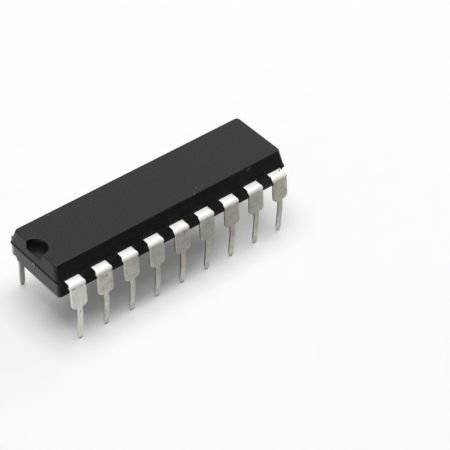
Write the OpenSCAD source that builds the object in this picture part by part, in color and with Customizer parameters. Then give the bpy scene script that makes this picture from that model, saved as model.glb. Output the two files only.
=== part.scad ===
// Dual in-line integrated circuit in a moulded plastic package, standing on its lead tips.
// Millimetres. X runs along the body from the notched end, Y across it, Z up from the tips.
// The stamped lead frame, the chip and its bond wires are modelled inside the moulding.

/* [Leads outside the body] */
// Leads in each of the two rows
leads_per_row = 9; // [7:1:10]
// Distance between neighbouring leads of a row
lead_pitch = 2.54; // [2.5:0.01:2.7]
// Level run of a lead from the wall to its bend
exit_run = 0.39; // [0.3:0.01:0.8]
// Thickness of the stamped strip
strip_t = 0.25; // [0.2:0.01:0.3]
// Inside radius of the bend
bend_r = 0.25; // [0.1:0.01:0.3]
// Lean of the legs outwards below the bend, in degrees
splay = 3.8; // [0:0.2:6]
// Height above the tips at which the legs turn back inwards
knee_z = 2.7; // [2.2:0.1:3]
// Lean of the legs inwards below that height, in degrees
toe_in = 3.9; // [0:0.1:6]
// Width of a lead where it leaves the body
exit_w = 1.4; // [1.3:0.01:1.44]
// Width over the stubs of the sheared dam bar, on the bend
stub_w = 1.54; // [1.46:0.01:1.6]
// Width of the broad part below the bend
broad_w = 1.48; // [1.45:0.01:1.7]
// Height of the seating shoulders above the tips
seat_z = 3.42; // [3:0.02:3.8]
// Radius of the two lower corners of the broad part
shoulder_r = 0.38; // [0.2:0.01:0.4]
// Width of the narrow part that enters the board
narrow_w = 0.46; // [0.4:0.01:0.5]
// Height of the tapered tip
tip_h = 0.6; // [0.3:0.05:0.8]
// Width of the flat end of a tip
tip_w = 0.22; // [0.1:0.01:0.3]

/* [Moulded body] */
// Body length beyond the middle of each end lead
end_margin = 1.28; // [1:0.01:1.6]
// Body width at the parting line
body_w = 6.5; // [6.1:0.05:6.6]
// Thickness of the half above the parting line
upper_t = 1.52; // [1.4:0.02:2]
// Thickness of the half below the parting line
lower_t = 1.78; // [1.5:0.02:2]
// Gap between the seating plane and the underside
standoff = 0.48; // [0.38:0.02:0.8]
// Draft of the long walls above the parting line, in degrees
upper_draft = 19; // [8:0.5:20]
// Draft of the long walls below the parting line, in degrees
lower_draft = 9; // [5:0.5:14]
// Draft of the end walls, in degrees
end_draft = 6.5; // [3:0.5:9]
// How far the lower mould half sits inside the upper one
mould_step = 0.05; // [0.01:0.01:0.08]
// Radius of the upright corners
corner_r = 0.3; // [0.15:0.05:0.5]
// Radius round the top face and the underside
edge_r = 0.08; // [0.04:0.01:0.15]

/* [Notch and ejector marks] */
// Radius of the index notch at the top face
notch_r = 1.08; // [0.8:0.02:1.2]
// Radius of the index notch at its floor
notch_floor_r = 0.9; // [0.6:0.02:1]
// Depth of the index notch
notch_depth = 0.72; // [0.4:0.02:0.9]
// Radius of the two ejector marks in the underside
ejector_r = 1.27; // [0.8:0.01:1.5]
// Depth of the ejector marks
ejector_depth = 0.45; // [0.1:0.05:0.6]
// Distance of each ejector mark from the end of the body
ejector_inset = 4.52; // [3:0.02:5.5]

/* [Lead frame inside the body] */
// How far the full lead width reaches in from the wall
anchor_len = 0.4; // [0.3:0.05:0.5]
// Width of the inner lead fingers
finger_w = 0.35; // [0.3:0.01:0.4]
// Gap between the tie bars and the nearest fingers
finger_gap = 0.2; // [0.15:0.01:0.3]
// Distance between the finger ends along the long sides of the pad
finger_end_pitch = 1.3; // [1.1:0.05:1.35]
// Length of the die pad
pad_l = 4.4; // [4:0.1:5]
// Width of the die pad
pad_w = 2.5; // [2.2:0.05:2.7]
// Gap between the die pad and the finger ends
pad_gap = 0.3; // [0.2:0.01:0.4]
// How far the die pad lies below the leads
pad_drop = 0.25; // [0.1:0.01:0.4]
// Width of the tie bars
tie_w = 0.48; // [0.3:0.01:0.5]
// How far the sheared tie bars stand out of the end walls
tie_stub = 0.04; // [0.01:0.01:0.06]

/* [Chip and bond wires] */
// Length of the silicon chip
die_l = 2.6; // [2:0.1:3.4]
// Width of the silicon chip
die_w = 2; // [1.6:0.1:2.2]
// Thickness of the silicon chip
die_t = 0.33; // [0.25:0.01:0.4]
// Thickness of the adhesive under the chip
glue_t = 0.03; // [0.02:0.005:0.06]
// How far the adhesive shows round the chip
glue_rim = 0.08; // [0.03:0.01:0.1]
// Diameter of a bond wire
wire_d = 0.032; // [0.025:0.001:0.04]
// Diameter of the ball at the chip end of a wire
ball_d = 0.08; // [0.06:0.005:0.1]
// Height of a wire loop above the straight line between its ends
loop_h = 0.22; // [0.15:0.01:0.35]

/* [Hidden] */
LEADS = 2 * leads_per_row;
function two_digits(k) = k < 10 ? str("0", k) : str(k);
function lead_name(k) = str("lead_", two_digits(k));
function wire_name(k) = str("bond_wire_", two_digits(k));

// Levels, from the tips up
belly_z = seat_z + standoff;
parting_z = belly_z + lower_t;
top_z = parting_z + upper_t;
frame_z = parting_z - strip_t / 2;
pad_z = frame_z - pad_drop;
die_z = pad_z + strip_t + glue_t;
die_top_z = die_z + die_t;

// Reach of the body and of the bends
body_l = (leads_per_row - 1) * lead_pitch + 2 * end_margin;
bend_y = body_w / 2 + exit_run;
bend_z = frame_z - bend_r;
row_span = 2 * (bend_y + bend_r + strip_t);
anchor_y = body_w / 2 - anchor_len;

// Small forms that follow the stamping and the moulding
stub_low_angle = 20;
stub_high_angle = 66;
widening = 0.1;
root_r = 0.1;
least_seat = 0.01;
joint_l = 0.05;
knee_l = 0.5;
coin_h = 0.35;
coin_t = strip_t * 0.6;
cut_over = 0.1;
corner_steps = 5;
arc_steps = 5;
end_cut = 0.6;
lane_cut = 0.25;
lane_drop = 0.4;
side_reach = 1.5;
tie_slope = 0.35;
pad_share = 0.5;
pad_inset = 0.12;
stitch_len = 0.12;
loop_rings = 8;
loop_lean = 0.6;
wire_sides = 6;
ball_h = ball_d / 4;

// Points on an arc about c from angle a to angle b
function arc(c, r, a, b, n) =
    [for (i = [0:n]) let (t = a + (b - a) * i / n) c + r * [cos(t), sin(t)]];

// Rectangle of half sizes hx and hy with corners of radius r, counter-clockwise
function round_rect(hx, hy, r) = concat(
    arc([hx - r, hy - r], r, 0, 90, corner_steps),
    arc([r - hx, hy - r], r, 90, 180, corner_steps),
    arc([r - hx, r - hy], r, 180, 270, corner_steps),
    arc([hx - r, r - hy], r, 270, 360, corner_steps)
);

// Outline of a strip along a path, mitred at its turns; w is its width, or a list with one for each point
function unit(v) = v / norm(v);
function left_of(v) = [-v[1], v[0]];
function mitre(p, i, w) =
    let (
        last = len(p) - 1,
        before = unit(i > 0 ? p[i] - p[i - 1] : p[1] - p[0]),
        after = unit(i < last ? p[i + 1] - p[i] : p[last] - p[last - 1]),
        here = is_list(w) ? w[i] : w
    )
    here / 2 * (left_of(before) + left_of(after)) / (1 + before * after);
function strip_outline(p, w) = concat(
    [for (i = [0:len(p) - 1]) p[i] + mitre(p, i, w)],
    [for (i = [len(p) - 1:-1:0]) p[i] - mitre(p, i, w)]
);

// Closed solid through rings of equal point count, each a list of 3-D points
module skin(rings) {
    n = len(rings[0]);
    last = len(rings) - 1;
    polyhedron(
        points = [for (ring = rings) each ring],
        faces = concat(
            [[for (i = [0:n - 1]) i]],
            [for (j = [0:last - 1]) for (i = [0:n - 1])
                [j * n + i, (j + 1) * n + i, (j + 1) * n + (i + 1) % n, j * n + (i + 1) % n]],
            [[for (i = [n - 1:-1:0]) last * n + i]]
        )
    );
}

// Moulded body
// Half sizes of the outline at height z: the walls draw in on both sides of the parting line.
function half_w(z) = z >= parting_z
    ? body_w / 2 - (z - parting_z) * tan(upper_draft)
    : body_w / 2 - mould_step - (parting_z - z) * tan(lower_draft);
function half_l(z) = body_l / 2 - abs(z - parting_z) * tan(end_draft) - (z < parting_z ? mould_step : 0);
function outline_at(z, inset) =
    [for (p = round_rect(half_l(z) - inset, half_w(z) - inset, corner_r)) [p[0], p[1], z]];
// The rim of the lower half stands back from that of the upper half at the parting line.
lower_rim = [for (p = round_rect(body_l / 2 - mould_step, body_w / 2 - mould_step, corner_r))
    [p[0], p[1], parting_z]];

module body_blank() {
    roll = [for (a = [90, 45, 0]) edge_r * [1 - sin(a), 1 - cos(a)]];
    skin(concat(
        [for (e = roll) outline_at(belly_z + e[0], e[1])],
        [lower_rim],
        [outline_at(parting_z, 0)],
        [for (i = [len(roll) - 1:-1:0]) outline_at(top_z - roll[i][0], roll[i][1])]
    ));
}

// Half-round index notch, open through the end wall beside the first lead
module index_notch() {
    widening_above = (notch_r - notch_floor_r) * cut_over / notch_depth;
    translate([-half_l(top_z), 0, top_z - notch_depth])
        cylinder(r1 = notch_floor_r, r2 = notch_r + widening_above, h = notch_depth + cut_over, $fn = 64);
}

module ejector_marks() {
    for (side = [-1, 1])
        translate([side * (body_l / 2 - ejector_inset), 0, belly_z - cut_over])
            cylinder(r = ejector_r, h = ejector_depth + cut_over, $fn = 64);
}

module moulded_body() {
    color([0.16, 0.16, 0.17])
    difference() {
        body_blank();
        index_notch();
        ejector_marks();
        pad_shape();
        glue_shape();
        die_shape();
        for (k = [1:LEADS]) {
            lead_strip(k);
            wire_shape(k);
        }
    }
}

// Lead frame
// A lead's place in its row is m, from 1; the second row is the first one turned half round.
function place(k) = k > leads_per_row ? k - leads_per_row : k;
function step_of(m) = m - (leads_per_row + 1) / 2;
function lead_x(m) = step_of(m) * lead_pitch;
function side_of(m) = sign(step_of(m));

// The middle leads of a row end beside the long side of the pad, the others beyond its short sides.
function at_side(m) = abs(step_of(m)) <= side_reach;
end_leads = len([for (m = [1:leads_per_row]) if (!at_side(m)) m]) / 2;

// Lanes parallel to the body share the room between the tie bar and the anchors. They are numbered
// from the tie bar outwards: one for each lead that ends beyond the pad, and one more for the middle
// leads on their way in.
lane_low = tie_w / 2 + finger_gap + finger_w / 2;
lane_top = anchor_y - lane_drop;
function lane_y(i) = lane_low + i * (lane_top - lane_low) / end_leads;
side_end_y = pad_w / 2 + pad_gap;

// Where a finger ends, as [x, distance from the middle line]
function finger_end(m) = at_side(m)
    ? [step_of(m) * finger_end_pitch, side_end_y]
    : [side_of(m) * (pad_l / 2 + pad_gap), lane_y((leads_per_row - 1) / 2 - abs(step_of(m)))];

// Middle line of a finger, from the anchor inwards
function finger_path(m) =
    let (x = lead_x(m), stop = finger_end(m), inward = -side_of(m), start = [x, anchor_y + finger_w / 2])
    inward == 0
        ? [start, stop]
        : at_side(m)
            ? [start, [x, lane_top + lane_cut], [x + inward * lane_cut, lane_top],
                [stop[0] - inward * lane_cut, lane_top], [stop[0], lane_top - lane_cut], stop]
            : [start, [x, stop[1] + end_cut], [x + inward * end_cut, stop[1]], stop];

module in_row(k) {
    rotate([0, 0, k > leads_per_row ? 180 : 0]) mirror([0, 1, 0]) children();
}

// Flat plan of a lead from its finger end to the start of the bend
module strip_plan(m) {
    translate([lead_x(m) - exit_w / 2, anchor_y]) square([exit_w, bend_y - anchor_y]);
    polygon(strip_outline(finger_path(m), finger_w));
}

module lead_strip(k) {
    in_row(k) translate([0, 0, frame_z]) linear_extrude(strip_t) strip_plan(place(k));
}

// Frame of the bend, in which x points out of the bend and y back along it at the angle a from the level
module bend_frame(a) {
    translate([0, bend_y, bend_z]) rotate([90, 0, 90]) rotate([0, 0, a]) children();
}

// Bend in three sectors: the stubs of the dam bar stand out of the middle one.
module bend_sector(from, to, w) {
    bend_frame(from) rotate_extrude(angle = to - from, $fn = 96)
        translate([bend_r, -w / 2]) square([strip_t, w]);
}

module lead_bend() {
    bend_sector(splay, stub_low_angle, exit_w);
    bend_sector(stub_low_angle, stub_high_angle, stub_w);
    bend_sector(stub_high_angle, 90, exit_w);
    // Core through the joint with the level run
    translate([-exit_w / 4, bend_y - joint_l, frame_z + strip_t / 4])
        cube([exit_w / 2, 2 * joint_l, strip_t / 2]);
}

// Middle line of the leg in the frame of its bend: straight on, plumb at the knee, then inwards.
// The strip starts with a tongue inside the bend, and is coined thinner over the last stretch.
function down(height, lean) = height / cos(lean) * [-sin(splay + lean), -cos(splay + lean)];
leg_top = [bend_r + strip_t / 2, 0];
knee_top = leg_top + down(bend_z + leg_top[0] * sin(splay) - knee_z - knee_l / 2, -splay);
knee_end = knee_top + down(knee_l, 0);
coin_top = knee_end + down(knee_z - knee_l / 2 - coin_h, toe_in);
leg_path = [leg_top + [0, joint_l], leg_top, knee_top, knee_end, coin_top,
    coin_top + down(coin_h + cut_over, toe_in)];
leg_widths = [strip_t / 2, strip_t, strip_t, strip_t, strip_t, coin_t];

// Front view of the leg, right half from above the bend to the flat end of the tip
shoulder = min(shoulder_r, broad_w / 2 - narrow_w / 2 - root_r - least_seat);
function leg_half() = concat(
    [[exit_w / 2, bend_z + bend_r], [exit_w / 2, bend_z], [broad_w / 2, bend_z - widening]],
    arc([broad_w / 2 - shoulder, seat_z + shoulder], shoulder, 0, -90, arc_steps),
    arc([narrow_w / 2 + root_r, seat_z - root_r], root_r, 90, 180, arc_steps),
    [for (i = [arc_steps:-1:0]) let (t = i / arc_steps)
        [tip_w / 2 + (narrow_w - tip_w) / 2 * sqrt(1 - pow(1 - t, 2)), tip_h * t]]
);
function mirrored(half) = concat(half, [for (i = [len(half) - 1:-1:0]) [-half[i][0], half[i][1]]]);

module leg() {
    intersection() {
        bend_frame(splay) translate([0, 0, -broad_w / 2]) linear_extrude(broad_w)
            polygon(strip_outline(leg_path, leg_widths));
        translate([0, row_span, 0]) rotate([90, 0, 0]) linear_extrude(row_span)
            polygon(mirrored(leg_half()));
    }
}

module lead(k) {
    color([0.78, 0.77, 0.73]) {
        lead_strip(k);
        in_row(k) translate([lead_x(place(k)), 0, 0]) {
            lead_bend();
            leg();
        }
    }
}

// Die pad with its two tie bars, which step up to the level of the leads
module pad_shape() {
    translate([-pad_l / 2, -pad_w / 2, pad_z]) cube([pad_l, pad_w, strip_t]);
    reach = body_l / 2 + tie_stub;
    rise_x = pad_l / 2 + pad_gap;
    for (side = [0, 180])
        rotate([0, 0, side])
            translate([0, tie_w / 2, 0]) rotate([90, 0, 0]) linear_extrude(tie_w)
                polygon([
                    [pad_l / 2, pad_z], [rise_x, pad_z], [rise_x + tie_slope, frame_z],
                    [reach, frame_z], [reach, frame_z + strip_t],
                    [rise_x + tie_slope, frame_z + strip_t], [rise_x, pad_z + strip_t],
                    [pad_l / 2, pad_z + strip_t]
                ]);
}

module die_pad() {
    color([0.72, 0.45, 0.33]) pad_shape();
}

module glue_shape() {
    translate([-die_l / 2 - glue_rim, -die_w / 2 - glue_rim, pad_z + strip_t])
        cube([die_l + 2 * glue_rim, die_w + 2 * glue_rim, glue_t]);
}

module die_attach() {
    color([0.75, 0.76, 0.78]) glue_shape();
}

module die_shape() {
    translate([-die_l / 2, -die_w / 2, die_z]) cube([die_l, die_w, die_t]);
}

module silicon_die() {
    color([0.35, 0.37, 0.42]) die_shape();
}

// Bond wires
// Foot of a wire on the chip and on its finger, as [x, distance from the middle line]
function ball_at(m) =
    let (stop = finger_end(m))
    at_side(m)
        ? [stop[0] * pad_share, die_w / 2 - pad_inset]
        : [side_of(m) * (die_l / 2 - pad_inset), stop[1] * pad_share];
function stitch_at(m) =
    finger_end(m) + (at_side(m) ? [0, 2 * stitch_len] : [side_of(m) * 2 * stitch_len, 0]);

// Loop as [run, height, tangent angle]: up out of the ball, over, and down flat onto the finger
function loop_z(t, rise) = rise * t + loop_h * sin(180 * pow(t, loop_lean));
function loop_points(run) =
    let (
        start_z = die_top_z + ball_h,
        lie_z = frame_z + strip_t + wire_d / 2 * cos(180 / wire_sides),
        rise = lie_z - start_z,
        span = run - stitch_len,
        dt = 0.01
    )
    concat(
        [[0, start_z, 90]],
        [for (i = [1:loop_rings]) let (t = i / (loop_rings + 1))
            [span * t, start_z + loop_z(t, rise),
                atan2(loop_z(t + dt, rise) - loop_z(t - dt, rise), 2 * dt * span)]],
        [[span, lie_z, 0], [run, lie_z, 0]]
    );

// Ring of the wire about a point p of the vertical plane through from, along the unit vector ahead
function wire_ring(from, ahead, p, r) = [for (i = [0:wire_sides - 1])
    let (
        a = 360 * i / wire_sides,
        across = r * cos(a),
        up = r * sin(a),
        s = p[0] - up * sin(p[2])
    )
    [from[0] + ahead[0] * s - ahead[1] * across, from[1] + ahead[1] * s + ahead[0] * across,
        p[1] + up * cos(p[2])]];

module wire_shape(k) {
    m = place(k);
    from = ball_at(m);
    to = stitch_at(m);
    ahead = unit(to - from);
    points = loop_points(norm(to - from));
    in_row(k)
        skin(concat(
            [wire_ring(from, ahead, [0, die_top_z, 90], ball_d / 2)],
            [wire_ring(from, ahead, points[0], ball_d / 2)],
            [for (p = points) wire_ring(from, ahead, p, wire_d / 2)]
        ));
}

module bond_wire(k) {
    color([0.95, 0.75, 0.35]) wire_shape(k);
}

moulded_body();
die_pad();
die_attach();
silicon_die();
for (k = [1:LEADS]) {
    lead(k);
    bond_wire(k);
}
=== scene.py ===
"""Dual in-line integrated circuit on a pale floor.

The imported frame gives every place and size. The moulded body and the leads are made here as
surfaces with rounded edges; the die pad, adhesive, chip and bond wires keep their solids.
"""

import math

import bmesh
import bpy
import numpy as np
from bpy.props import FloatProperty, IntProperty, PointerProperty, StringProperty
from mathutils import Matrix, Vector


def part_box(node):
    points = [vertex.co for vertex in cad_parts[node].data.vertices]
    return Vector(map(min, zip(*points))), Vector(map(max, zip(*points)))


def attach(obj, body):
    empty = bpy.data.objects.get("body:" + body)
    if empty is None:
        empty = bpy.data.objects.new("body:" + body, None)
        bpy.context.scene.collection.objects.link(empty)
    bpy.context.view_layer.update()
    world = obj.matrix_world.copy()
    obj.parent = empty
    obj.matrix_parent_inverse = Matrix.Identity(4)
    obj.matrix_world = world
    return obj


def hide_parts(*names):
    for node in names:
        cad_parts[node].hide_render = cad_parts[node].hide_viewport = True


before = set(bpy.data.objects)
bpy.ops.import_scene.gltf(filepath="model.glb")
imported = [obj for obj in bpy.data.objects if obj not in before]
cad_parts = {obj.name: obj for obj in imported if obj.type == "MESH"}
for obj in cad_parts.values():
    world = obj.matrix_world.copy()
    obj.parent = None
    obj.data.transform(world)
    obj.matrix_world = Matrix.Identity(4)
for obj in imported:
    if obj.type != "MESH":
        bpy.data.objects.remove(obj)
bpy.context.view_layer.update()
BODY_LOW, BODY_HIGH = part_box("moulded_body")

bl_info = {
    "name": "Dual in-line integrated circuit",
    "version": (1, 0, 0),
    "blender": (4, 5, 0),
    "location": "3D Viewport > Sidebar > Chip",
    "description": "Builds a moulded chip package with formed leads and its studio",
    "category": "Object",
}

MM = 0.001
WELD = 2e-7

# Camera: focal length in millimetres, place, and its directions right and ahead
LENS = 163.34
EYE = (-0.07472, -0.09881, 0.11231)
RIGHT = np.array([0.77291, -0.63444, 0.00963])
AHEAD = np.array([0.48128, 0.57629, -0.66050])

# Flags in front of the long side, as distance and height in millimetres: a low ribbon behind its
# legs, and a strip on the floor that stands up at its far edge. Only reflections see them: they paint
# dark reflections into the walls and the leads
RIBBON = ((-3.7, 4.4), (-3.7, 0.1))
STRIP = ((-6, 0.1), (-30, 0.1), (-70, 0.1), (-70, 8), (-70, 22))

# Lamps: size and place in metres, power in watts, and tilt about Y in degrees
LAMPS = {
    "softbox": ((0.38, 0.38), (0, 0.05, 0.5), 1.55, 0),
    "side_panel": ((0.3, 0.2), (0.4, 0.05, 0.12), 0.45, 74),
}


# Sizes and colours that a user would change

def length(name, description, default):
    return FloatProperty(name=name, description=description, default=default, unit="LENGTH", precision=5)


def angle(name, description, degrees):
    return FloatProperty(name=name, description=description, default=math.radians(degrees), subtype="ANGLE")


def colour(name, description, default):
    return StringProperty(name=name, description=description + ", as an sRGB hex value", default=default)


class ChipBodySizes(bpy.types.PropertyGroup):
    """Sizes of the moulded body."""
    half_length: length("Half length", "Half the length at the parting line", BODY_HIGH[0])
    half_width: length("Half width", "Half the width at the parting line", BODY_HIGH[1])
    top: length("Top", "Height of the top face above the lead tips", BODY_HIGH[2])
    belly: length("Underside", "Height of the underside above the lead tips", BODY_LOW[2])
    parting: length("Parting line", "Height of the parting line above the lead tips", 5.68 * MM)
    step: length("Mould step", "How far the lower mould half sits inside the upper one", 0.05 * MM)
    upper_draft: angle("Upper draft", "Draft of the long walls above the parting line", 19)
    lower_draft: angle("Lower draft", "Draft of the long walls below the parting line", 9)
    end_draft: angle("End draft", "Draft of the end walls", 6.5)
    ridge_height: length("Flash ridge height", "Height of the ridge along the parting line", 0.17 * MM)
    ridge_reach: length("Flash ridge reach", "How far that ridge stands out of the walls", 0.03 * MM)
    corner: length("Corner radius", "Radius of the upright corners", 0.3 * MM)
    edge: length("Edge radius", "Radius round the top face and the underside", 0.08 * MM)
    notch_radius: length("Notch radius", "Radius of the index notch at the top face", 1.08 * MM)
    notch_floor: length("Notch floor radius", "Radius of the index notch at its floor", 1.0 * MM)
    notch_depth: length("Notch depth", "Depth of the index notch", 0.72 * MM)
    mark_radius: length("Ejector mark radius", "Radius of the marks in the underside", 1.27 * MM)
    mark_depth: length("Ejector mark depth", "Depth of the marks in the underside", 0.45 * MM)
    mark_inset: length("Ejector mark inset", "Distance of a mark from the end of the body", 4.52 * MM)


class ChipLeadSizes(bpy.types.PropertyGroup):
    """Sizes of the formed leads."""
    per_row: IntProperty(name="Leads per row", description="Leads in each of the two rows", default=9)
    pitch: length("Pitch", "Distance between neighbouring leads", 2.54 * MM)
    thickness: length("Thickness", "Thickness of the strip", 0.25 * MM)
    rounding: length("Edge rounding", "Radius of the stamped edges", 0.075 * MM)
    anchor: length("Anchor", "How far the full width reaches into the body", 0.4 * MM)
    exit_run: length("Level run", "Level run from the wall to the bend", 0.39 * MM)
    bend: length("Bend radius", "Inside radius of the bend", 0.25 * MM)
    splay: angle("Splay", "Lean of the legs outwards below the bend", 3.8)
    toe_in: angle("Toe-in", "Lean of the legs inwards below the knee", 3.9)
    knee: length("Knee", "Middle height of the plumb stretch", 2.7 * MM)
    knee_length: length("Knee length", "Length of the plumb stretch", 0.5 * MM)
    exit_width: length("Exit width", "Width where the lead leaves the body", 1.4 * MM)
    stub_width: length("Stub width", "Width over the sheared dam-bar stubs", 1.54 * MM)
    broad_width: length("Broad width", "Width of the part below the bend", 1.48 * MM)
    seat: length("Shoulder height", "Height of the shoulders above the tips", 3.42 * MM)
    shoulder: length("Shoulder radius", "Radius of the lower corners of the broad part", 0.38 * MM)
    root: length("Root radius", "Radius between the shoulders and the narrow part", 0.1 * MM)
    narrow_width: length("Narrow width", "Width of the part that enters the board", 0.46 * MM)
    tip_height: length("Tip height", "Height of the tapered tip", 0.6 * MM)
    tip_width: length("Tip width", "Width of the flat end of a tip", 0.22 * MM)
    finger_width: length("Finger width", "Width of the inner fingers", 0.35 * MM)
    finger_gap: length("Finger gap", "Gap between the tie bars and the nearest fingers", 0.2 * MM)
    finger_pitch: length("Finger pitch", "Distance between the finger ends along the pad", 1.3 * MM)
    tie_width: length("Tie bar width", "Width of the tie bars of the die pad", 0.48 * MM)
    room_length: length("Room length", "Length of the room round the die pad, free of fingers", 5 * MM)
    room_width: length("Room width", "Width of the room round the die pad, free of fingers", 3.1 * MM)
    pressed: IntProperty(name="Pressed lead", description="Number of the lead that is pressed in", default=18)
    pressed_run: length("Pressed level run", "Level run of the pressed lead", 0.115 * MM)
    pressed_lean: angle("Pressed lean", "Lean outwards of the whole leg of the pressed lead", 0.8)


class ChipFinish(bpy.types.PropertyGroup):
    """Colours of the materials and of the stage."""
    epoxy: colour("Epoxy", "Carbon-black epoxy of the body", "#0d0c0e")
    filler: colour("Filler", "Silica grains that show in the epoxy", "#232224")
    scuff: colour("Scuff", "Scratches and flecks in the epoxy", "#68666a")
    tin: colour("Tin", "Matt tin plating", "#dcdbd5")
    # Lighter tin of the level parts and of the first leg: painted highlight and painted reflection
    highlight_tin: colour("Burnished tin", "Tin of the level parts and of the first leg", "#e8e7e1")
    # Tone of the darker mottle on the legs: partly random tarnish, partly painted shade
    tarnish_and_shade: colour("Tarnish", "Duller patches of the tin", "#bdb9ac")
    # Grey of the faces towards the body and of the pressed lead: painted shade
    inner: colour("Inner faces", "Grey tin of the faces towards the body", "#b2b0a5")
    stain: colour("Stain", "Stains and specks on the tin", "#4e4a46")
    copper: colour("Copper", "Bare copper alloy", "#b9744f")
    rolled: colour("Rolling lines", "Darker lines along the rolling of the copper", "#8f563b")
    # Light grey of the sheared tie bar ends, partly a painted highlight
    smear_and_highlight: colour("Smear", "Tin smeared over the sheared tie bars", "#74736f")
    # Bare copper of the sheared dam bar, darkened as painted shade
    sheared: colour("Sheared copper", "Copper alloy, darkened where it was sheared", "#2c2320")
    # Pale copper under the stubs of the first leads: a painted highlight
    stub_highlight: colour("Burr", "Fresh copper of the burrs under the sheared stubs", "#f0dacd")
    floor: colour("Floor", "Pale floor", "#f7f7f6")
    fibre: colour("Fibre", "Darker fibres of the floor", "#f2f2f0")


# Soft-edged eggs: centre and half sizes in millimetres, and a turn in degrees
SHADE = ((-2.15, -1.36, 0), (10.2, 3.2, 1))
THICK_FELT = ((6, -8, 0), (11, 30, 30))
SCUFFS = (
    ((7.85, -2.81, 6.96), (0.32, 0.05, 0.045), (0, -8, 0)),
    ((7.14, -2.78, 7.19), (0.08, 0.06, 0.08)),
    ((2.94, -2.2, 7.2), (0.12, 0.04, 0.04), (0, 0, 35)),
    ((3.42, -2.3, 7.2), (0.12, 0.04, 0.04), (0, 0, 35)),
    ((2.3, -2.7, 7.19), (0.1, 0.06, 0.06)),
    ((-8.2, 2.46, 7.2), (0.07, 0.07, 0.07)),
    ((6.95, -3.13, 4.95), (0.05, 0.06, 0.05)),
)
STAINS = (
    ((-7.51, -4.15, 5.17), (0.09, 0.08, 0.07)),
    ((-10.62, -4.13, 5.46), (0.2, 0.1, 0.04)),
    ((-10.22, -4.34, 3.05), (0.05, 0.12, 0.2), (0, 12, 0)),
    ((4.5, -4.14, 5.3), (0.08, 0.08, 0.06)),
    ((10.62, -3.44, 5.8), (0.07, 0.16, 0.05), (0, 0, -20)),
)


# Surfaces as whole arrays

def quads(rows, columns, closed=False):
    """Faces of a grid with the given rows and columns, its columns joined round when closed."""
    r, c = np.meshgrid(np.arange(rows - 1), np.arange(columns if closed else columns - 1), indexing="ij")
    a = r * columns + c
    b = r * columns + (c + 1) % columns
    return np.stack([a, b, b + columns, a + columns], axis=-1)


def blend(a, b, t):
    """Straight lines between two curves: (1 - t) a + t b for every t."""
    t = np.asarray(t)[:, None, None]
    return (1 - t) * a[None] + t * b[None]


def stops(*pairs):
    """Numbers that run evenly through the given stops; each pair is a stop and the steps to the next."""
    parts = [np.linspace(pairs[i][0], pairs[i + 1][0], pairs[i][1] + 1)[:-1] for i in range(len(pairs) - 1)]
    return np.concatenate(parts + [[pairs[-1][0]]])


def piece(name, patches, smooth_angle=35.0, values=None, polished=()):
    """One welded mesh from patches, each a grid of points with its faces, and an object at the origin.
    values holds named numbers for the points, in the order of the patches; polished lists the patches
    whose faces get 1 in the attribute of that name."""
    points = np.concatenate([p.reshape(-1, 3) for p, _ in patches])
    starts = np.cumsum([0] + [p.reshape(-1, 3).shape[0] for p, _ in patches])
    faces = np.concatenate([f.reshape(-1, 4) + s for (_, f), s in zip(patches, starts)])
    mesh = bpy.data.meshes.new(name)
    mesh.from_pydata(points.tolist(), [], faces.tolist())
    for key, numbers in (values or {}).items():
        mesh.attributes.new(key, "FLOAT", "POINT").data.foreach_set("value", numbers.astype(np.float32))
    shine = np.concatenate([np.full(f.size // 4, float(i in polished)) for i, (_, f) in enumerate(patches)])
    mesh.attributes.new("polished", "FLOAT", "FACE").data.foreach_set("value", shine.astype(np.float32))
    bm = bmesh.new()
    bm.from_mesh(mesh)
    bmesh.ops.remove_doubles(bm, verts=bm.verts, dist=WELD)
    bmesh.ops.dissolve_degenerate(bm, edges=bm.edges, dist=WELD)
    bmesh.ops.recalc_face_normals(bm, faces=bm.faces)
    bm.to_mesh(mesh)
    bm.free()
    mesh.shade_smooth()
    mesh.set_sharp_from_angle(angle=math.radians(smooth_angle))
    obj = bpy.data.objects.new(name, mesh)
    bpy.context.scene.collection.objects.link(obj)
    return obj


def soften(obj, width):
    """Rounds the edges that are still sharp, and keeps the flat faces flat in the shading."""
    bevel = obj.modifiers.new("Small edges", "BEVEL")
    bevel.width = width
    bevel.segments = 2
    bevel.limit_method = "ANGLE"
    bevel.angle_limit = math.radians(40)
    normals = obj.modifiers.new("Flat faces", "WEIGHTED_NORMAL")
    normals.keep_sharp = True


# Moulded body: steps of its grid, and half the square of grid round an ejector mark

END_STEPS = 5
NOTCH_STEPS = 36
CORNER_STEPS = 8
ROLL_STEPS = 6
BLOCK_STEPS = 14
MARGIN = 1.8 * MM


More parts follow.
